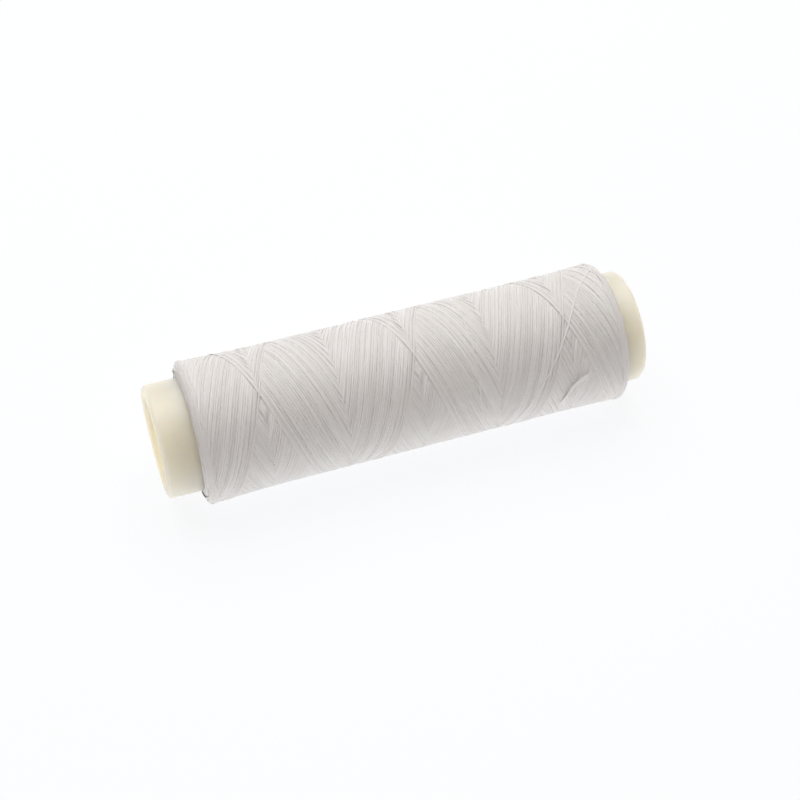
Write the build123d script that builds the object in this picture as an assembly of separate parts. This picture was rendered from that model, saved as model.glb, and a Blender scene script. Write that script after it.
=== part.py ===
"""A spool of waxed thread lying on its side: a moulded plastic tube with a cross-wound
package of waxed thread on it. Millimetres, X along the spool, Z up, and the origin on
the table below the middle of the tube.

core_tube      the plain moulded tube, with rounded rims and a lead-in at each mouth
inner_winding  the body of the wound package, with the raised band at each end where the
               thread turns back, flattened where the spool lies
outer_winding  the outermost layer, one unbroken thread that runs to and fro between the
               end bands and crosses over itself, as on every cross-wound package
"""
from math import ceil, cos, pi, radians, sin, tau
import os

from build123d import *
from numpy import array, hypot, sqrt

os.makedirs("parts", exist_ok=True)

# The tube
tube_length = 110.0
tube_radius = 12.6
tube_wall = 2.1
rim_round = 1.1  # outer edge of each rim
mouth_lead_in = 0.5  # chamfer that guides a spindle into the bore

# The wound package
left_overhang = 7.6  # bare tube past the package, left end
right_overhang = 4.7
waist_depth = 2.9  # from the tube's surface out to the outermost thread
band_length = 3.4  # flat top of an end band
band_slope = 5.0  # length over which a band falls to the waist
band_difference = 0.2  # the right band stands out this much less than the left
left_shoulder_round = 1.0  # outer corner of the package
right_shoulder_round = 1.5
package_lean = 0.5  # how far each end face of the package leans inwards
winding_fit = 0.03  # between the package and the tube it is wound on

# The thread and its outer layer
thread_diameter = 0.5
thread_gap = 0.45  # between two runs of thread where they cross
layer_fit = 0.05  # between the outer layer and the winding under it
there_and_back_count = 5
turns_there_and_back = 4.8  # of the spool, spreads the 5 evenly round it
turning_angle = radians(56)  # the spool's turn while the thread turns back
turn_margin = 0.5  # from the outermost turn-back to the foot of the end band

# How the spool lies
flat_depth = 0.5  # of the flat that its weight makes on the left band
table_gap = 0.05  # between the outer layer and the table

# Places worked out from these
waist_radius = tube_radius + waist_depth
left_band_radius = waist_radius + table_gap + flat_depth
right_band_radius = left_band_radius - band_difference
axis_height = waist_radius + table_gap
axis_place = Pos(0, 0, axis_height)
package_left = -tube_length / 2 + left_overhang
package_right = tube_length / 2 - right_overhang
half_thread = thread_diameter / 2
over_radius = waist_radius - half_thread  # middle of the runs that go left
under_radius = over_radius - thread_diameter - thread_gap  # of those that go right
base_radius = under_radius - half_thread - layer_fit
band_reach = package_lean + band_length + band_slope
left_band_foot = package_left + band_reach
right_band_foot = package_right - band_reach
leftmost = left_band_foot + turn_margin + half_thread
rightmost = right_band_foot - turn_margin - half_thread

# The outer layer is worked out as on the unrolled package: at each angle that the spool
# has turned through, how far along it the thread lies, and how far from its axis.
trip_angle = tau * turns_there_and_back / 2  # one way, with half a turn-back each end
stroke_angle = trip_angle - turning_angle
half_turning = turning_angle / 2
# x is a straight line over a stroke and a parabola over a turn-back
lead_rate = (rightmost - leftmost) / (trip_angle - half_turning)


def core_tube():
    half = tube_length / 2
    corners = [
        (-half, 0, tube_radius - tube_wall),
        (-half, 0, tube_radius),
        (half, 0, tube_radius),
        (half, 0, tube_radius - tube_wall),
    ]
    section = make_face(Polyline(*corners, close=True))
    section = fillet(section.vertices().group_by(Axis.Z)[-1], rim_round)
    section = chamfer(section.vertices().group_by(Axis.Z)[0], mouth_lead_in)
    return axis_place * revolve(section, Axis.X)


def inner_winding():
    inner = tube_radius + winding_fit
    left_top = package_left + package_lean
    right_top = package_right - package_lean
    corners = [
        (package_left, 0, inner),
        (left_top, 0, left_band_radius),
        (left_top + band_length, 0, left_band_radius),
        (left_band_foot, 0, base_radius),
        (right_band_foot, 0, base_radius),
        (right_top - band_length, 0, right_band_radius),
        (right_top, 0, right_band_radius),
        (package_right, 0, inner),
    ]
    section = make_face(Polyline(*corners, close=True))
    for corner, size in (
        (corners[1], left_shoulder_round),
        (corners[6], right_shoulder_round),
    ):
        section = fillet(section.vertices().sort_by_distance(corner)[0], size)
    body = axis_place * revolve(section, Axis.X)
    under_table = Box(2 * tube_length, 4 * tube_radius, 2 * tube_radius)
    return body - Pos(0, 0, -tube_radius) * under_table


def thread_place(angle):
    """The thread's place along the spool and its radius, each with its rate."""
    trip, since = divmod(angle, trip_angle)
    until = trip_angle - since
    # share of the way from under to over that a turn-back has still, or already, to go
    if since < half_turning:
        advance = lead_rate * since**2 / turning_angle
        advance_rate = 2 * lead_rate * since / turning_angle
        level = sin(pi / 2 * since / half_turning)
        level_rate = pi / turning_angle * cos(pi / 2 * since / half_turning)
    elif until < half_turning:
        advance = rightmost - leftmost - lead_rate * until**2 / turning_angle
        advance_rate = 2 * lead_rate * until / turning_angle
        level = sin(pi / 2 * until / half_turning)
        level_rate = -pi / turning_angle * cos(pi / 2 * until / half_turning)
    else:
        advance = lead_rate * (since - half_turning / 2)
        advance_rate, level, level_rate = lead_rate, 1, 0
    middle = (over_radius + under_radius) / 2
    rise = (over_radius - under_radius) / 2
    if trip % 2:
        return rightmost - advance, -advance_rate, middle + rise * level, rise * level_rate
    return leftmost + advance, advance_rate, middle - rise * level, -rise * level_rate


def thread_station(angle):
    """Where the thread's middle is, and which way it runs."""
    x, x_rate, r, r_rate = thread_place(angle)
    point = Vector(x, -r * cos(angle), axis_height + r * sin(angle))
    run = Vector(
        x_rate,
        r * sin(angle) - r_rate * cos(angle),
        r * cos(angle) + r_rate * sin(angle),
    )
    return point, run.normalized()


def biarc(start, start_run, end, end_run):
    """Two arcs that leave start and reach end along the given runs and meet smoothly."""
    chord = end - start
    both = start_run + end_run
    # the arcs' tangents are equally long, so |chord - tangent * both| = 2 * tangent
    a = 4 - both.dot(both)
    b = 2 * chord.dot(both)
    c = -chord.dot(chord)
    tangent = (-b + (b * b - 4 * a * c) ** 0.5) / (2 * a)
    first_corner = start + start_run * tangent
    second_corner = end - end_run * tangent
    middle = (first_corner + second_corner) / 2
    return [
        TangentArc(start, middle, tangent=start_run),
        TangentArc(middle, end, tangent=second_corner - first_corner),
    ]


def outer_winding():
    quarter_count = ceil(stroke_angle / (pi / 2))
    trips = 2 * there_and_back_count
    angles = [
        trip * trip_angle + half_turning + stroke_angle * k / quarter_count
        for trip in range(trips)
        for k in range(quarter_count + 1)
    ]
    angles += [trip * trip_angle for trip in range(1, trips)]
    stations = [thread_station(angle) for angle in sorted(angles)]
    path = []
    for here, there in zip(stations, stations[1:]):
        path += biarc(*here, *there)
    # each end runs straight on for one diameter
    (first, first_run), (last, last_run) = stations[0], stations[-1]
    path.insert(0, Line(first - first_run * thread_diameter, first))
    path.append(Line(last, last + last_run * thread_diameter))
    print_gaps(path)
    print("outer winding:", round((max(angles) - min(angles)) / tau, 1), "turns")
    route = Wire(path)
    end_face = Plane(origin=route @ 0, z_dir=route % 0) * Circle(half_thread)
    return sweep(end_face, path=route)


def print_gaps(path):
    """Print the thread's least gap to itself and to the winding under it."""
    step = thread_diameter / 2
    points = []
    for edge in path:
        count = ceil(edge.length / step)
        points += [tuple(edge @ ((k + 0.5) / count)) for k in range(count)]
    points = array(points)
    skipped = ceil(half_thread * pi / step) + ceil(base_radius / step)
    nearest = min(
        sqrt(((points[k + skipped :] - points[k]) ** 2).sum(axis=1)).min()
        for k in range(len(points) - skipped)
    )
    radii = hypot(points[:, 1], points[:, 2] - axis_height)
    print("outer winding: least gap to itself", round(nearest - thread_diameter, 3))
    print("to the inner winding", round(radii.min() - half_thread - base_radius, 3))


for name, make in {
    "core_tube": core_tube,
    "inner_winding": inner_winding,
    "outer_winding": outer_winding,
}.items():
    export_step(make(), f"parts/{name}.step")
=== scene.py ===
import bpy
import numpy as np
from math import ceil, cos, pi, radians, sin, tau
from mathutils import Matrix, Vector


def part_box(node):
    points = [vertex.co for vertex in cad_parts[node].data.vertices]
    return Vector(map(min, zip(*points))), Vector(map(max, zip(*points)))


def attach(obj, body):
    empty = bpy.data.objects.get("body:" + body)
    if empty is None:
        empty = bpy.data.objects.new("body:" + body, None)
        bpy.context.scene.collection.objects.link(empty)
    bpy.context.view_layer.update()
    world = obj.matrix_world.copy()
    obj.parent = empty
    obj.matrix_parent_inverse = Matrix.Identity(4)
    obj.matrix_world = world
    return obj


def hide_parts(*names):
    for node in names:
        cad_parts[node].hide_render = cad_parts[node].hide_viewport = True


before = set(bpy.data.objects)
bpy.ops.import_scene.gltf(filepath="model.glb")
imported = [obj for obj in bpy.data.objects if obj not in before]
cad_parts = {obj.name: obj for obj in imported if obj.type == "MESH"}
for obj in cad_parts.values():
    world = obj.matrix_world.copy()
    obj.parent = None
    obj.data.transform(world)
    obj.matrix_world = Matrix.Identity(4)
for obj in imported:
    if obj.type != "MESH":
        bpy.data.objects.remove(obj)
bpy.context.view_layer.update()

tubeLow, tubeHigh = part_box("core_tube")
packLow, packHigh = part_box("inner_winding")
tubeRadius = (tubeHigh[2] - tubeLow[2]) / 2
axisHeight = (tubeHigh[2] + tubeLow[2]) / 2
rng = np.random.default_rng(11)
scene = bpy.context.scene
print("frame loaded, axis at", round(axisHeight * 1000, 2), "mm")


# camera, at the height and turn that show the spool from the front and above
cameraSetup = {
    "target": (0.0009, 0.0, 0.0090),
    "turn": radians(-18.224),
    "elevation": radians(50.145),
    "distance": 0.40513,
    "lens": 81.0,
}


def addCamera(setup):
    turn, elevation = setup["turn"], setup["elevation"]
    level = cos(elevation)
    back = np.array([sin(turn) * level, -cos(turn) * level, sin(elevation)])
    data = bpy.data.cameras.new("spoolCamera")
    data.lens = setup["lens"]
    data.sensor_width = 36.0
    data.clip_start = 0.01
    camera = bpy.data.objects.new("spoolCamera", data)
    camera.location = np.array(setup["target"]) + back * setup["distance"]
    camera.rotation_euler = (pi / 2 - elevation, 0.0, turn)
    scene.collection.objects.link(camera)
    scene.camera = camera
    print("camera placed")


addCamera(cameraSetup)


# The winding is laid the way the machine lays it. A height field over angle and x holds the
# package's surface, and each run of thread rests on it, is pulled tight and then raises it.
windingSetup = {
    "lead": 0.0344,  # along the spool per turn, metres
    "leftTip": packLow[0] + 0.0007,
    "rightTip": packHigh[0] - 0.0008,
    "leftTurning": radians(125),  # angle of the spool in which the thread turns back
    "rightTurning": radians(185),
    "crossingX": 0.0022,  # where the two newest runs cross at the front
    "crossingAngle": radians(20.6),  # from the top, towards the front
    "tripCount": 104,
    "width": 0.00048,
    "thickness": 0.00038,
    "pitch": 0.00048,
    "bedding": 0.3,  # share of its thickness that a run sinks into those below
    "levelEvery": 4,
    "levelShare": 0.5,
    "keep": 8,  # grid rows per ring of the finished thread
    "leftRadius": 0.01602,
    "waistRadius": 0.01552,
    "rightRadius": 0.01580,
    "flare": 0.009,  # length over which an end's ridge falls to the waist
    "relief": 0.36,  # how much of the laid height shows
    "crown": 0.00016,  # how far the shown strips stand proud, side to side
    "contact": 0.98,  # share of its width over which a run bears on those below
    "pullSpans": (48, 24, 12, 6, 3),  # rows over which the pulled thread bridges hollows
    "settleCells": 14,  # reach of the running means that level the package
    "firstGroup": 3,
    "groupSize": (4, 8),  # threads side by side before a wider gap
    "wideGap": (1.35, 1.75),  # shares of the pitch
    "narrowGap": (0.9, 1.08),
    "sway": ((1.0, 6e-5), (2.3, 5e-5), (5.1, 4e-5)),  # speed and size of each slow wave
    "tipScatter": (2e-4, 2.5e-4),  # at the left and the right end
    "tipShare": 0.03,
}
gridRows, gridColumns = 1000, 1000
gridStart, gridEnd = packLow[0] - 0.001, packHigh[0] + 0.001
columnStep = (gridEnd - gridStart) / gridColumns
rowStep = tau / gridRows
meanRadius = 0.0152
innerRadius = tubeRadius + 0.00003  # where the thread closes on the tube


def blurred(field, rows, columns):
    # running means, three times over, wrapped round in angle
    out = field.astype(float)
    for _ in range(3):
        padded = np.concatenate([out[-rows:], out, out[:rows]])
        total = np.cumsum(padded, axis=0)
        out = (total[2 * rows:] - total[: -2 * rows]) / (2 * rows)
        left, right = np.repeat(out[:, :1], columns, 1), np.repeat(out[:, -1:], columns, 1)
        padded = np.concatenate([left, out, right], axis=1)
        total = np.cumsum(padded, axis=1)
        out = (total[:, 2 * columns:] - total[:, : -2 * columns]) / (2 * columns)
    return out


def sampled(field, angle, x):
    row = (angle / rowStep) % gridRows
    column = np.clip((x - gridStart) / columnStep, 0, gridColumns - 1.001)
    r0 = row.astype(int)
    c0 = column.astype(int)
    fr, fc = row - r0, column - c0
    r0 %= gridRows
    r1 = (r0 + 1) % gridRows
    near = field[r0, c0] * (1 - fc) + field[r0, c0 + 1] * fc
    far = field[r1, c0] * (1 - fc) + field[r1, c0 + 1] * fc
    return near * (1 - fr) + far * fr


def gridRow(angle):
    return np.rint(angle / rowStep).astype(int) % gridRows


def nearCells(x, reach):
    # each place along the package in columns of the grid, and the columns round it
    column = (x - gridStart) / columnStep
    cells = np.rint(column[:, None] + np.arange(-reach, reach + 1))
    return column, cells.astype(int).clip(0, gridColumns - 1)


def slopeOf(x, angle):
    return np.gradient(x) / (meanRadius * np.gradient(angle))


class Package:
    def __init__(self, setup):
        self.setup = setup
        self.height = np.zeros((gridRows, gridColumns))
        self.owner = np.full((gridRows, gridColumns), -1)
        self.sunk = np.zeros((gridRows, gridColumns))
        self.runs = []

    def lay(self, x, angle):
        # one run: x and angle at each row of the grid that it crosses
        thickness, half = self.setup["thickness"], self.setup["width"] / 2
        row = gridRow(angle)
        column, cells = nearCells(x, int(ceil(half / columnStep)))
        slope = slopeOf(x, angle)
        straight = 1 / np.hypot(1, slope)
        across = (cells - column[:, None]) * columnStep * straight[:, None] / half
        under = np.abs(across) <= self.setup["contact"]
        crown = np.sqrt(np.clip(1 - across**2, 0, 1))
        ground = self.height[row[:, None], cells]
        lifted = np.where(under, ground - (1 - crown) * thickness / 2, -1.0)
        mean = np.where(under, ground, 0).sum(1) / under.sum(1)
        rest = 0.5 * lifted.max(1) + 0.5 * mean
        curve = meanRadius * (1 + slope**2)
        step = rowStep * meanRadius / straight
        for _ in range(2):
            for span in self.setup["pullSpans"]:
                if 2 * span < len(rest):
                    chord = (rest[2 * span:] + rest[: -2 * span]) / 2
                    chord -= (span * step[span:-span]) ** 2 / (2 * curve[span:-span])
                    rest[span:-span] = np.maximum(rest[span:-span], chord)
        middle = rest + thickness * (0.5 - self.setup["bedding"])
        top = middle[:, None] + thickness / 2 * crown
        flat = (row[:, None] * gridColumns + cells)[under]
        tops = top[under]
        order = np.argsort(tops, kind="stable")
        flat, tops = flat[order], tops[order]
        heights, owners = self.height.reshape(-1), self.owner.reshape(-1)
        higher = tops > heights[flat]
        heights[flat[higher]] = tops[higher]
        owners[flat[higher]] = len(self.runs)
        sunk = sampled(self.sunk, angle, x)
        self.runs.append({"x": x, "angle": angle, "middle": middle, "sunk": sunk})

    def smooth(self):
        cells = self.setup["settleCells"]
        covered = (self.owner >= 0).astype(float)
        share = np.maximum(blurred(covered, cells, cells), 1e-3)
        return blurred(self.height * covered, cells, cells) / share

    def level(self):
        # the package settles: ridges sink and hollows fill as more thread presses on them
        covered = self.owner >= 0
        smooth = self.smooth()
        drop = (smooth - smooth[covered].mean()) * self.setup["levelShare"]
        self.height -= drop * covered
        self.sunk += drop


def strokeShape(setup):
    rate = setup["lead"] / tau
    left, right = setup["leftTurning"] / 2, setup["rightTurning"] / 2
    leftTip, rightTip = setup["leftTip"], setup["rightTip"]
    reach = rightTip - leftTip
    straight = (reach - rate * (left + right) / 2) / rate
    total = left + straight + right

    def place(a):
        x = leftTip + rate * (a - left / 2)
        x = np.where(a < left, leftTip + rate * a**2 / (2 * left), x)
        return np.where(a > total - right, rightTip - rate * (total - a) ** 2 / (2 * right), x)

    crossing = left / 2 + (setup["crossingX"] - leftTip) / rate
    return total, crossing, place


def windPackage(setup):
    package = Package(setup)
    rate = setup["lead"] / tau
    total, crossing, place = strokeShape(setup)
    # threads lie side by side in small groups, with a wider gap after each
    gaps, left = [], setup["firstGroup"]
    for _ in range(setup["tripCount"]):
        wide = left == 0
        left = int(rng.integers(*setup["groupSize"])) if wide else left - 1
        gaps.append(setup["pitch"] * rng.uniform(*setup["wideGap" if wide else "narrowGap"]))
    shifts = -np.cumsum(gaps[::-1])[::-1] / rate
    shifts -= shifts[-1]
    steps = np.arange(0, total, rowStep)
    for trip, shift in enumerate(shifts):
        for leftward in (False, True):
            sway = sum(size * np.sin(speed * steps + rng.uniform(0, tau))
                       for speed, size in setup["sway"])
            x = place(steps) + sway
            share = (x - setup["leftTip"]) / (setup["rightTip"] - setup["leftTip"])
            for scatter, away in zip(setup["tipScatter"], (share, 1 - share)):
                x += rng.normal(0, scatter) * np.exp(-((away / setup["tipShare"]) ** 2))
            start = setup["crossingAngle"] + shift
            if leftward:
                package.lay(x[::-1], start - (total - crossing) + steps)
            else:
                package.lay(x, start - crossing + steps)
        if trip % setup["levelEvery"] == 0:
            package.level()
    package.level()
    print("winding laid in", len(package.runs), "runs")
    return package


package = windPackage(windingSetup)


# loose runs that cross the finished layer: x in millimetres and degrees from the top
straySetup = {
    "runs": [
        [(15.3, -120), (15.5, -60), (15.4, 0), (15.0, 40), (14.6, 66), (14.7, 85),
         (15.3, 97), (16.8, 120), (19.5, 160)],
        [(50.2, -62), (49.3, -31), (45.6, -14), (41.6, 0), (39.0, 18), (34.0, 46),
         (28.2, 75), (24.6, 100), (20.5, 150), (18.0, 200)],
    ],
    "softening": 121,  # rows that a path is averaged over, an odd number
    "pressed": 0.00005,  # how far they sink into the layer
}


def layStrays(package, setup):
    kernel = np.hanning(setup["softening"])
    half = setup["softening"] // 2
    for stray in setup["runs"]:
        x, angle = np.array(stray, dtype=float).T
        turns = np.radians(angle)
        rows = np.arange(turns[0], turns[-1], rowStep)
        path = np.interp(rows, turns, x / 1000)
        padded = np.concatenate([np.full(half, path[0]), path, np.full(half, path[-1])])
        package.lay(np.convolve(padded, kernel / kernel.sum(), "valid"), rows)
        package.runs[-1]["middle"] -= setup["pressed"]
    print("stray runs laid")


layStrays(package, straySetup)


# how each end face leans in from the tube to the ridge, and the round of its corner
shoulderSetup = {
    "left": {"foot": packLow[0] + 0.0002, "ridge": packLow[0] + 0.0006,
             "inward": 1, "corner": 0.0012},
    "right": {"foot": packHigh[0] - 0.0002, "ridge": packHigh[0] - 0.0007,
              "inward": -1, "corner": 0.0016},
}
# the groove behind the left end's turn-backs
grooveSetup = {"behind": 0.0019, "reach": 0.0006, "depth": 0.00013}


def envelope(x, setup=windingSetup):
    # radius over the crowns of the thread at each place along the package
    left = np.exp(-(((x - setup["leftTip"]) / setup["flare"]) ** 2))
    right = np.exp(-(((x - setup["rightTip"]) / setup["flare"]) ** 2))
    waist = setup["waistRadius"]
    leftRise, rightRise = setup["leftRadius"] - waist, setup["rightRadius"] - waist
    radius = waist + leftRise * left + rightRise * right
    groove = (x - setup["leftTip"] - grooveSetup["behind"]) / grooveSetup["reach"]
    radius = radius - grooveSetup["depth"] * np.exp(-(groove**2))
    for end in shoulderSetup.values():
        corner = end["corner"]
        into = np.clip(corner - (x - end["ridge"]) * end["inward"], 0, corner)
        radius = radius - (corner - np.sqrt(corner**2 - into**2))
    return radius


def endProfile(end, count):
    # x and radius from the tube's surface up the end face and round its corner
    corner, inner = end["corner"], innerRadius
    top = envelope(end["ridge"] + end["inward"] * corner)
    rise = top - corner - inner
    length = np.linspace(0, rise + corner * pi / 2, count)
    turned = np.clip(length - rise, 0, None) / corner
    up = np.minimum(length, rise)
    lean = (end["ridge"] - end["foot"]) * up / rise
    x = end["foot"] + lean + end["inward"] * corner * (1 - np.cos(turned))
    return x, inner + up + corner * np.sin(turned)


settled = package.smooth()
lumpShare = 0.22  # how much of the settled package's unevenness shows
lumps = lumpShare * (settled - settled.mean(axis=0, keepdims=True))


def onPackage(angle, x, radius):
    return np.stack([x, -radius * np.sin(angle), axisHeight + radius * np.cos(angle)], axis=-1)


def rested(points):
    # the package's own weight flattens it where it lies
    soft = 0.0006
    height = points[:, 2]
    pressed = soft * np.clip((height + soft) / (2 * soft), 0, None) ** 2
    return np.column_stack([points[:, :2], np.where(height < soft, pressed, height)])


def addMesh(name, points, faces, maps, tones):
    mesh = bpy.data.meshes.new(name)
    mesh.vertices.add(len(points))
    mesh.vertices.foreach_set("co", rested(points).astype(np.float32).ravel())
    mesh.loops.add(faces.size)
    mesh.loops.foreach_set("vertex_index", faces.ravel().astype(np.int32))
    mesh.polygons.add(len(faces))
    starts = np.arange(len(faces)) * faces.shape[1]
    mesh.polygons.foreach_set("loop_start", starts.astype(np.int32))
    mesh.polygons.foreach_set("use_smooth", np.ones(len(faces), dtype=bool))
    layer = mesh.uv_layers.new(name="strandMap")
    corners = np.ascontiguousarray(maps[faces.ravel()], dtype=np.float32)
    layer.data.foreach_set("uv", corners.ravel())
    tone = mesh.attributes.new("strandTone", "FLOAT", "POINT")
    tone.data.foreach_set("value", np.ascontiguousarray(tones, dtype=np.float32))
    mesh.update(calc_edges=True)
    mesh.validate()
    piece = bpy.data.objects.new(name, mesh)
    scene.collection.objects.link(piece)
    return piece


def ringFaces(ringCount, around, starts):
    # quads along open strips: starts marks the first ring of each strip
    ring = np.setdiff1d(np.arange(ringCount - 1), np.array(starts[1:]) - 1)
    corner = (ring[:, None] * around + np.arange(around - 1)).ravel()
    return np.stack([corner, corner + around, corner + around + 1, corner + 1], axis=1)


# the strips that show: four points round each ring, lengths in metres
stripSetup = {
    "around": np.radians(np.array([-108.0, -40.0, 40.0, 108.0])),
    "outer": np.array([1, 0, 0, 1]),  # marks the two points at the strip's edges
    "sink": 0.00010,  # its middle lies under the envelope, which goes over the crowns
    "calm": (0.003, 0.25),  # length and least share of the relief at the shoulders
    "softening": 7,  # rows that the radius is averaged over, an odd number
    "skirt": 0.00028,  # how far the edges reach down at the shoulders, to hide what is under
    "skirtLength": 0.0015,
    "dives": (0.00030, 0.00012),  # how far the end rings dip under the runs that cross
    "toneSpread": 0.9,
    "paler": (0.1, 1.8),  # share of the runs, and by how much
    "toneWave": (0.35, 0.05),  # size and speed along a run
}


def buildRuns(name, package, chosen, setup, pale=0.0):
    # the part of each run that shows, as a rounded strip of thread
    around, softening = stripSetup["around"], stripSetup["softening"]
    calmLength, calmShare = stripSetup["calm"]
    endDive, nextDive = stripSetup["dives"]
    palerShare, palerStep = stripSetup["paler"]
    waveSize, waveSpeed = stripSetup["toneWave"]
    points, maps, tones, starts, rings = [], [], [], [0], 0
    keep = setup["keep"]
    for index in chosen:
        run = package.runs[index]
        x, angle = run["x"], run["angle"]
        _, cells = nearCells(x, 2)
        seen = (package.owner[gridRow(angle)[:, None], cells] == index).any(1)
        spread = np.convolve(seen, np.ones(2 * keep + 1), "same") > 0
        picked = np.arange(0, len(x), keep)
        shown = spread[picked]
        middle = run["middle"] + run["sunk"] - sampled(package.sunk, angle, x)
        middle = middle - sampled(settled, angle, x)
        fromEnd = np.minimum(x - setup["leftTip"], setup["rightTip"] - x)
        middle = middle * np.clip(fromEnd / calmLength, calmShare, 1)
        radius = envelope(x) + middle * setup["relief"] - stripSetup["sink"]
        radius = np.pad(radius + sampled(lumps, angle, x), softening // 2, "edge")
        radius = np.convolve(radius, np.ones(softening) / softening, "valid")
        tone = pale + rng.normal(0, stripSetup["toneSpread"])
        tone = tone + palerStep * (rng.random() < palerShare)
        tone = tone + waveSize * np.sin(picked * waveSpeed + rng.uniform(0, tau))
        slope = slopeOf(x, angle)
        length = np.cumsum(rowStep * meanRadius * np.hypot(1, slope))
        edges = np.flatnonzero(np.diff(np.concatenate([[0], shown.astype(int), [0]])))
        for first, last in zip(edges[::2], edges[1::2]):
            if last - first < 2:
                continue
            at = picked[first:last]
            lean = 1 / np.hypot(1, slope[at])[:, None]
            side = np.sin(around) * setup["width"] / 2
            nearEnd = np.exp(-fromEnd[at] / stripSetup["skirtLength"])[:, None]
            up = np.cos(around) * setup["crown"] / 2 - stripSetup["skirt"] * nearEnd * stripSetup["outer"]
            dive = np.zeros(last - first)
            dive[[0, -1]] = endDive
            if last - first > 4:
                dive[[1, -2]] = nextDive
            ringX = x[at][:, None] + side * lean
            ringAngle = angle[at][:, None] - side * lean * slope[at][:, None] / meanRadius
            ring = onPackage(ringAngle, ringX, (radius[at] - dive)[:, None] + up)
            points.append(ring.reshape(-1, 3))
            u = np.repeat(length[at], len(around))
            maps.append(np.stack([u * 1000, np.tile(around / tau + 0.5, last - first)], axis=1))
            tones.append(np.repeat(tone[first:last], len(around)))
            rings += last - first
            starts.append(rings)
    faces = ringFaces(rings, len(around), starts[:-1])
    piece = addMesh(name, np.concatenate(points), faces,
                    np.concatenate(maps), np.concatenate(tones))
    print(name, "has", len(faces), "faces")
    return piece


windingPieces = []
layerNames = ["threadRightwardOdd", "threadLeftwardOdd", "threadRightwardEven", "threadLeftwardEven"]
layerRuns = len(package.runs) - len(straySetup["runs"])
for first, name in enumerate(layerNames):
    chosen = range(first, layerRuns, len(layerNames))
    windingPieces.append(buildRuns(name, package, chosen, windingSetup))
strays = range(layerRuns, len(package.runs))
windingPieces.append(buildRuns("threadStrays", package, strays, windingSetup, pale=1.6))


# the body's tone of -2.4 is painted shade: it darkens what shows in the gaps between the runs
bodySetup = {"rows": 240, "columns": 200, "endColumns": 12, "depth": 0.00022, "tone": -2.4}


def buildBody(setup):
    # what shows between the runs: the imported thread under them, closed down to the tube; its low tone
    # is painted shade for the gaps between the runs
    leftX, leftRadius = endProfile(shoulderSetup["left"], setup["endColumns"])
    rightX, rightRadius = endProfile(shoulderSetup["right"], setup["endColumns"])
    along = np.linspace(leftX[-1], rightX[-1], setup["columns"])[1:-1]
    depth = setup["depth"]
    x = np.concatenate([leftX + depth, along, rightX[::-1] - depth])
    crown = np.concatenate([leftRadius, envelope(along), rightRadius[::-1]])
    angle = np.arange(setup["rows"]) * tau / setup["rows"]
    radius = crown + sampled(lumps, angle[:, None], x[None, :]) - depth
    radius = np.maximum(radius, innerRadius)
    points = onPackage(angle[:, None], np.broadcast_to(x, radius.shape), radius)
    rows, columns = radius.shape
    corner = (np.arange(rows)[:, None] * columns + np.arange(columns - 1)).ravel()
    after = (((np.arange(rows) + 1) % rows * columns)[:, None] + np.arange(columns - 1)).ravel()
    faces = np.stack([corner, corner + 1, after + 1, after], axis=1)
    points = points.reshape(-1, 3)
    maps = np.stack([points[:, 0] * 1000, np.repeat(angle, columns) * 2.5], axis=1)
    # painted shade: every point of the body takes the low tone, so the gaps between the runs look darker
    tones = np.full(rows * columns, setup["tone"])
    return addMesh("threadUnderRuns", points, faces, maps, tones)


windingPieces.append(buildBody(bodySetup))


endSetup = {
    "layers": 10,
    "arcs": 13,
    "spread": radians(58),
    "rings": 26,
    "sides": 6,
    "drawnIn": 3,
    "halves": (0.00024, 0.00021),  # half the width and half the height of a thread
    "steps": 60,  # along the end's profile
    "firstStep": 2,
    "reach": 0.88,  # share of the profile that the layers cover
    "shift": 0.35,  # how far an arc strays from its place, in arcs
    "stagger": 0.9,  # turn from one layer to the next
    "depths": (0.00010, 0.00018),
    "scatter": (-0.00006, 0.00004),
    "ripple": 0.00003,
    "dip": 0.0005,  # under the outer layer, at an arc's ends
    "clear": 0.00024,  # from the tube to a thread's middle
    "tone": (-0.2, 0.6),
}


def tubeAlong(path, halves, sides, drawnIn):
    # a round thread along points, with a steady frame; the drawnIn rings at each end close it
    path = np.asarray(path, dtype=float)
    run = np.gradient(path, axis=0)
    run /= np.linalg.norm(run, axis=1)[:, None]
    out = path - np.array([0.0, 0.0, axisHeight])
    out[:, 0] = 0
    out -= (out * run).sum(1)[:, None] * run
    out /= np.linalg.norm(out, axis=1)[:, None]
    side = np.cross(run, out)
    around = np.arange(sides) * tau / sides
    width, height = halves
    taper = np.ones(len(path))
    closing = np.sqrt(1 - np.linspace(0, 0.995, drawnIn + 1)[1:] ** 2)
    taper[-drawnIn:] = closing
    taper[:drawnIn] = closing[::-1]
    taper = taper[:, None, None]
    across = (np.sin(around) * width)[None, :, None] * taper
    upward = (np.cos(around) * height)[None, :, None] * taper
    ring = path[:, None] + side[:, None] * across + out[:, None] * upward
    points = ring.reshape(-1, 3)
    count = len(path)
    corner = (np.arange(count - 1)[:, None] * sides + np.arange(sides)).ravel()
    beside = (np.arange(count - 1)[:, None] * sides + (np.arange(sides) + 1) % sides).ravel()
    faces = np.stack([corner, beside, beside + sides, corner + sides], axis=1)
    length = np.concatenate([[0], np.cumsum(np.linalg.norm(np.diff(path, axis=0), axis=1))])
    maps = np.stack([np.repeat(length * 1000, sides), np.tile(around / tau, count)], axis=1)
    return points, faces, maps


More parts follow.
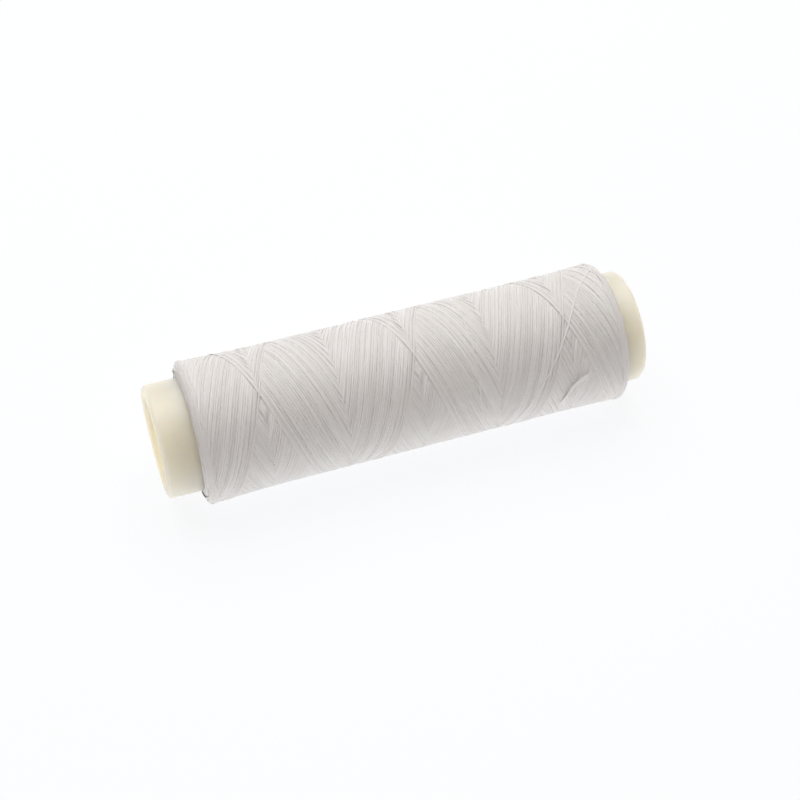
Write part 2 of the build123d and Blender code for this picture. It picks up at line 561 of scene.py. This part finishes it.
def buildEnds(setup):
    # the turn-backs stacked on the two end faces of the package
    points, faces, maps, tones, offset = [], [], [], [], 0
    rate = windingSetup["lead"] / tau
    for side, end in shoulderSetup.items():
        turning = windingSetup[side + "Turning"]
        profileX, profileRadius = endProfile(end, setup["steps"])
        first, reach = setup["firstStep"], setup["reach"] * setup["steps"]
        for layer in range(setup["layers"]):
            at = int(first + (reach - first) * layer / (setup["layers"] - 1))
            for arc in range(setup["arcs"]):
                strayed = arc + rng.uniform(-setup["shift"], setup["shift"])
                middle = tau * strayed / setup["arcs"] + layer * setup["stagger"]
                angle = np.linspace(-setup["spread"], setup["spread"], setup["rings"])
                depth = 0.4 * rate * angle**2 / turning + rng.uniform(*setup["depths"])
                x = profileX[at] + end["inward"] * depth
                wave = profileRadius[at] + rng.uniform(*setup["scatter"])
                wave = wave + setup["ripple"] * np.sin(angle * 3 + arc)
                wave = wave - setup["dip"] * (angle / setup["spread"]) ** 6
                wave = np.maximum(wave, tubeRadius + setup["clear"])
                path = onPackage(angle + middle, x, wave)
                ring, quads, place = tubeAlong(path, setup["halves"], setup["sides"], setup["drawnIn"])
                points.append(ring)
                faces.append(quads + offset)
                maps.append(place)
                tones.append(np.full(len(ring), rng.normal(*setup["tone"])))
                offset += len(ring)
    return addMesh("threadTurnBacks", np.concatenate(points), np.concatenate(faces),
                   np.concatenate(maps), np.concatenate(tones))


windingPieces.append(buildEnds(endSetup))


# the thread's free end, lifting off the package: millimetres along, degrees, lift in mm
tailSetup = {
    "path": [(33.2, 100, -0.3), (33.9, 93.6, -0.05), (34.7, 87, 0.15), (35.6, 81, 0.3),
             (37.0, 76.5, 0.45), (38.2, 73.6, 0.55), (39.2, 71.4, 0.65)],
    "halves": (0.00030, 0.00022),  # half its width and half its height
    "rise": 0.00014,
    "rings": 60,
    "sides": 12,
    "drawnIn": 4,
    "tone": 3.0,
}


def smoothPath(points, count):
    # a gentle curve through the points, sampled evenly
    points = np.array(points, dtype=float)
    at = np.linspace(0, len(points) - 1, count)
    k = np.clip(at.astype(int), 0, len(points) - 2)
    t = (at - k)[:, None]
    before, here = points[np.maximum(k - 1, 0)], points[k]
    there, beyond = points[k + 1], points[np.minimum(k + 2, len(points) - 1)]
    square = (2 * before - 5 * here + 4 * there - beyond) * t**2
    cube = (3 * here - before - 3 * there + beyond) * t**3
    return 0.5 * (2 * here + (there - before) * t + square + cube)


def buildTail(setup):
    x, angle, lift = smoothPath(setup["path"], setup["rings"]).T
    x, angle = x / 1000, np.radians(angle)
    path = onPackage(angle, x, envelope(x) + setup["rise"] + lift / 1000)
    points, faces, maps = tubeAlong(path, setup["halves"], setup["sides"], setup["drawnIn"])
    return addMesh("threadFreeEnd", points, faces, maps, np.full(len(points), setup["tone"]))


windingPieces.append(buildTail(tailSetup))
print("package built")


# shared effects, as node groups


def newGroup(name, inputs, outputs):
    group = bpy.data.node_groups.new(name, "ShaderNodeTree")
    for socketName, kind, value in inputs:
        socket = group.interface.new_socket(name=socketName, in_out="INPUT", socket_type=kind)
        if value is not None:
            socket.default_value = value
    for socketName, kind in outputs:
        group.interface.new_socket(name=socketName, in_out="OUTPUT", socket_type=kind)
    return group, group.nodes.new("NodeGroupInput"), group.nodes.new("NodeGroupOutput")


def join(tree, source, target):
    tree.links.new(source, target)


def mathNode(tree, operation, first, second=None, third=None, clamp=False):
    node = tree.nodes.new("ShaderNodeMath")
    node.operation = operation
    node.use_clamp = clamp
    for socket, value in zip(node.inputs, (first, second, third)):
        if value is None:
            continue
        if isinstance(value, (int, float)):
            socket.default_value = value
        else:
            join(tree, value, socket)
    return node.outputs[0]


def makeMottle():
    # broad, soft differences of tone, with a fine grain over them
    group, inside, outside = newGroup(
        "softMottle",
        [
            ("Place", "NodeSocketVector", None),
            ("Broad Scale", "NodeSocketFloat", 60.0),
            ("Fine Scale", "NodeSocketFloat", 900.0),
        ],
        [("Broad", "NodeSocketFloat"), ("Fine", "NodeSocketFloat")],
    )
    for output, detail in (("Broad", 3.0), ("Fine", 2.0)):
        noise = group.nodes.new("ShaderNodeTexNoise")
        noise.inputs["Detail"].default_value = detail
        join(group, inside.outputs["Place"], noise.inputs["Vector"])
        join(group, inside.outputs[output + " Scale"], noise.inputs["Scale"])
        join(group, noise.outputs["Fac"], outside.inputs[output])
    return group


def makeDust():
    # a little dust and handling grime, thickest where the surface faces up
    group, inside, outside = newGroup(
        "settledDust",
        [("Place", "NodeSocketVector", None), ("Amount", "NodeSocketFloat", 0.3)],
        [("Mask", "NodeSocketFloat")],
    )
    noise = group.nodes.new("ShaderNodeTexNoise")
    noise.inputs["Scale"].default_value = 420.0
    noise.inputs["Detail"].default_value = 5.0
    join(group, inside.outputs["Place"], noise.inputs["Vector"])
    ramp = group.nodes.new("ShaderNodeMapRange")
    ramp.inputs["From Min"].default_value = 0.56
    ramp.inputs["From Max"].default_value = 0.74
    join(group, noise.outputs["Fac"], ramp.inputs["Value"])
    geometry = group.nodes.new("ShaderNodeNewGeometry")
    split = group.nodes.new("ShaderNodeSeparateXYZ")
    join(group, geometry.outputs["Normal"], split.inputs[0])
    facingUp = mathNode(group, "MULTIPLY_ADD", split.outputs["Z"], 0.4, 0.5, clamp=True)
    spotted = mathNode(group, "MULTIPLY", ramp.outputs["Result"], facingUp)
    mask = mathNode(group, "MULTIPLY", spotted, inside.outputs["Amount"])
    join(group, mask, outside.inputs["Mask"])
    return group


mottle, dust = makeMottle(), makeDust()


def newMaterial(name):
    material = bpy.data.materials.new(name)
    material.use_nodes = True
    tree = material.node_tree
    return material, tree, tree.nodes["Principled BSDF"]


def placed(tree, group, values, source):
    node = tree.nodes.new("ShaderNodeGroup")
    node.node_tree = group
    join(tree, source, node.inputs["Place"])
    for name, value in values.items():
        node.inputs[name].default_value = value
    return node


def blend(tree, mask, first, second):
    node = tree.nodes.new("ShaderNodeMix")
    node.data_type = "RGBA"
    # of a colour mix, 0 is the factor and 6 and 7 are the colours
    for index, value in ((0, mask), (6, first), (7, second)):
        socket = node.inputs[index]
        if isinstance(value, (int, float)):
            socket.default_value = value
        elif isinstance(value, tuple):
            socket.default_value = (*value, 1.0)
        else:
            join(tree, value, socket)
    return node.outputs[2]


threadFinish = {
    "pale": (0.84, 0.83, 0.82),
    # the darker colour: the dark end of the runs' random tone, and painted shade on the body between the
    # runs
    "darkToneAndShade": (0.61, 0.585, 0.565),
    "waxy": (0.77, 0.755, 0.73),
    "dust": (0.50, 0.47, 0.44),
    "roughness": 0.5,
}


def makeThreadMaterial(finish):
    material, tree, shader = newMaterial("waxedThread")
    place = tree.nodes.new("ShaderNodeTexCoord").outputs["Object"]
    tone = tree.nodes.new("ShaderNodeAttribute")
    tone.attribute_name = "strandTone"
    spread = placed(tree, mottle, {"Broad Scale": 90.0, "Fine Scale": 1500.0}, place)
    # strandTone moves the colour between the darker one and the pale one: runs differ at random, and the
    # body's low tone paints shade into the gaps between the runs
    share = mathNode(tree, "MULTIPLY_ADD", tone.outputs["Fac"], 0.11, 0.7, clamp=True)
    colour = blend(tree, share, finish["darkToneAndShade"], finish["pale"])
    waxMask = tree.nodes.new("ShaderNodeMapRange")
    waxMask.inputs["From Min"].default_value = 0.45
    waxMask.inputs["From Max"].default_value = 0.72
    waxMask.inputs["To Max"].default_value = 0.7
    join(tree, spread.outputs["Broad"], waxMask.inputs["Value"])
    colour = blend(tree, waxMask.outputs["Result"], colour, finish["waxy"])
    grime = placed(tree, dust, {"Amount": 0.10}, place)
    colour = blend(tree, grime.outputs["Mask"], colour, finish["dust"])
    join(tree, colour, shader.inputs["Base Color"])
    # the filaments' twist, which runs round the strand
    strand = tree.nodes.new("ShaderNodeUVMap")
    strand.uv_map = "strandMap"
    twist = tree.nodes.new("ShaderNodeTexWave")
    twist.wave_type = "BANDS"
    twist.bands_direction = "DIAGONAL"
    twist.inputs["Scale"].default_value = 1.6
    twist.inputs["Distortion"].default_value = 1.2
    twist.inputs["Detail"].default_value = 2.0
    stretch = tree.nodes.new("ShaderNodeMapping")
    stretch.inputs["Scale"].default_value = (0.55, 5.0, 1.0)
    join(tree, strand.outputs["UV"], stretch.inputs["Vector"])
    join(tree, stretch.outputs["Vector"], twist.inputs["Vector"])
    height = mathNode(tree, "MULTIPLY_ADD", spread.outputs["Fine"], 0.5, twist.outputs["Fac"])
    bump = tree.nodes.new("ShaderNodeBump")
    bump.inputs["Strength"].default_value = 0.35
    bump.inputs["Distance"].default_value = 0.00003
    join(tree, height, bump.inputs["Height"])
    join(tree, bump.outputs["Normal"], shader.inputs["Normal"])
    rough = mathNode(tree, "MULTIPLY_ADD", spread.outputs["Broad"], 0.3,
                     finish["roughness"] - 0.15)
    join(tree, rough, shader.inputs["Roughness"])
    shader.inputs["Sheen Weight"].default_value = 0.08
    shader.inputs["Sheen Roughness"].default_value = 0.6
    shader.inputs["Specular IOR Level"].default_value = 0.4
    return material


tubeFinish = {
    "ivory": (0.66, 0.63, 0.56),
    "yellowed": (0.64, 0.595, 0.49),
    "dust": (0.55, 0.50, 0.42),
    "roughness": 0.42,
}


def makeTubeMaterial(finish):
    material, tree, shader = newMaterial("ivoryTube")
    place = tree.nodes.new("ShaderNodeTexCoord").outputs["Object"]
    spread = placed(tree, mottle, {"Broad Scale": 45.0, "Fine Scale": 2600.0}, place)
    aged = tree.nodes.new("ShaderNodeMapRange")
    aged.inputs["From Min"].default_value = 0.35
    aged.inputs["From Max"].default_value = 0.75
    aged.inputs["To Max"].default_value = 0.5
    join(tree, spread.outputs["Broad"], aged.inputs["Value"])
    colour = blend(tree, aged.outputs["Result"], finish["ivory"], finish["yellowed"])
    grime = placed(tree, dust, {"Amount": 0.14}, place)
    colour = blend(tree, grime.outputs["Mask"], colour, finish["dust"])
    join(tree, colour, shader.inputs["Base Color"])
    bump = tree.nodes.new("ShaderNodeBump")
    bump.inputs["Strength"].default_value = 0.25
    bump.inputs["Distance"].default_value = 0.00002
    join(tree, spread.outputs["Fine"], bump.inputs["Height"])
    join(tree, bump.outputs["Normal"], shader.inputs["Normal"])
    rough = mathNode(tree, "MULTIPLY_ADD", spread.outputs["Broad"], 0.25,
                     finish["roughness"] - 0.12)
    join(tree, rough, shader.inputs["Roughness"])
    shader.inputs["Subsurface Weight"].default_value = 1.0
    shader.inputs["Subsurface Radius"].default_value = (1.0, 0.84, 0.56)
    shader.inputs["Subsurface Scale"].default_value = 0.012
    shader.inputs["Specular IOR Level"].default_value = 0.45
    return material


threadMaterial = makeThreadMaterial(threadFinish)
for piece in windingPieces:
    piece.data.materials.append(threadMaterial)
    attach(piece, "root")
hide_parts("inner_winding", "outer_winding")

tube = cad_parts["core_tube"]
tubeMaterial = makeTubeMaterial(tubeFinish)
for materialSlot in tube.material_slots:
    materialSlot.link = "OBJECT"
    materialSlot.material = tubeMaterial
print("materials made")


# the white surface that the spool lies on
floorSetup = {
    "half": 3.0,
    "colour": (0.86, 0.865, 0.88),
    "lit": 0.80,  # its own light on the object
    "shown": 0.88,  # share of an even glow in what the camera sees
    "glow": 0.915,
}


def addFloor(setup):
    half = setup["half"]
    corners = [(-half, -half, 0), (half, -half, 0), (half, half, 0), (-half, half, 0)]
    mesh = bpy.data.meshes.new("paleFloor")
    mesh.from_pydata(corners, [], [(0, 1, 2, 3)])
    floor = bpy.data.objects.new("paleFloor", mesh)
    scene.collection.objects.link(floor)
    material, tree, shader = newMaterial("paleFloor")
    shader.inputs["Base Color"].default_value = (*setup["colour"], 1.0)
    shader.inputs["Roughness"].default_value = 0.9
    shader.inputs["Specular IOR Level"].default_value = 0.0
    # like a light table, it also glows a little from below
    shader.inputs["Emission Color"].default_value = (0.95, 0.97, 1.0, 1.0)
    shader.inputs["Emission Strength"].default_value = setup["lit"]
    # seen directly or in a reflection it is nearly white, but it keeps part of its shadow
    rays = tree.nodes.new("ShaderNodeLightPath")
    seen = mathNode(tree, "MAXIMUM", rays.outputs["Is Camera Ray"],
                    rays.outputs["Is Glossy Ray"])
    seen = mathNode(tree, "MAXIMUM", seen, rays.outputs["Is Transmission Ray"])
    glow = tree.nodes.new("ShaderNodeEmission")
    glow.inputs["Color"].default_value = (0.985, 0.99, 1.0, 1.0)
    glow.inputs["Strength"].default_value = setup["glow"]
    mix = tree.nodes.new("ShaderNodeMixShader")
    join(tree, mathNode(tree, "MULTIPLY", seen, setup["shown"]), mix.inputs[0])
    join(tree, shader.outputs[0], mix.inputs[1])
    join(tree, glow.outputs[0], mix.inputs[2])
    join(tree, mix.outputs[0], tree.nodes["Material Output"].inputs["Surface"])
    mesh.materials.append(material)


addFloor(floorSetup)


# soft studio light: a dim, warm surround and one large soft box, above and behind
lightSetup = {
    "surround": 0.17,
    "tint": (1.0, 0.82, 0.70),
    "place": (0.0, 0.37, 0.93),
    "size": 1.2,
    "power": 11.8,
}


def addLights(setup):
    world = bpy.data.worlds.new("paleSurround")
    scene.world = world
    world.use_nodes = True
    tree = world.node_tree
    background = tree.nodes["Background"]
    background.inputs["Color"].default_value = (*setup["tint"], 1.0)
    background.inputs["Strength"].default_value = setup["surround"]
    clear = tree.nodes.new("ShaderNodeBackground")
    clear.inputs["Color"].default_value = (1.0, 1.0, 1.0, 1.0)
    rays = tree.nodes.new("ShaderNodeLightPath")
    mix = tree.nodes.new("ShaderNodeMixShader")
    join(tree, rays.outputs["Is Camera Ray"], mix.inputs[0])
    join(tree, background.outputs[0], mix.inputs[1])
    join(tree, clear.outputs[0], mix.inputs[2])
    join(tree, mix.outputs[0], tree.nodes["World Output"].inputs["Surface"])
    data = bpy.data.lights.new("overheadBox", "AREA")
    data.shape = "DISK"
    data.size = setup["size"]
    data.energy = setup["power"]
    lamp = bpy.data.objects.new("overheadBox", data)
    lamp.location = setup["place"]
    away = np.array(setup["place"]) - np.array([0.0, 0.0, axisHeight])
    tilt = float(np.arctan2(np.hypot(away[0], away[1]), away[2]))
    lamp.rotation_euler = (tilt, 0.0, float(np.arctan2(away[0], -away[1])))
    scene.collection.objects.link(lamp)
    scene.view_settings.view_transform = "Standard"
    print("lights placed")


addLights(lightSetup)
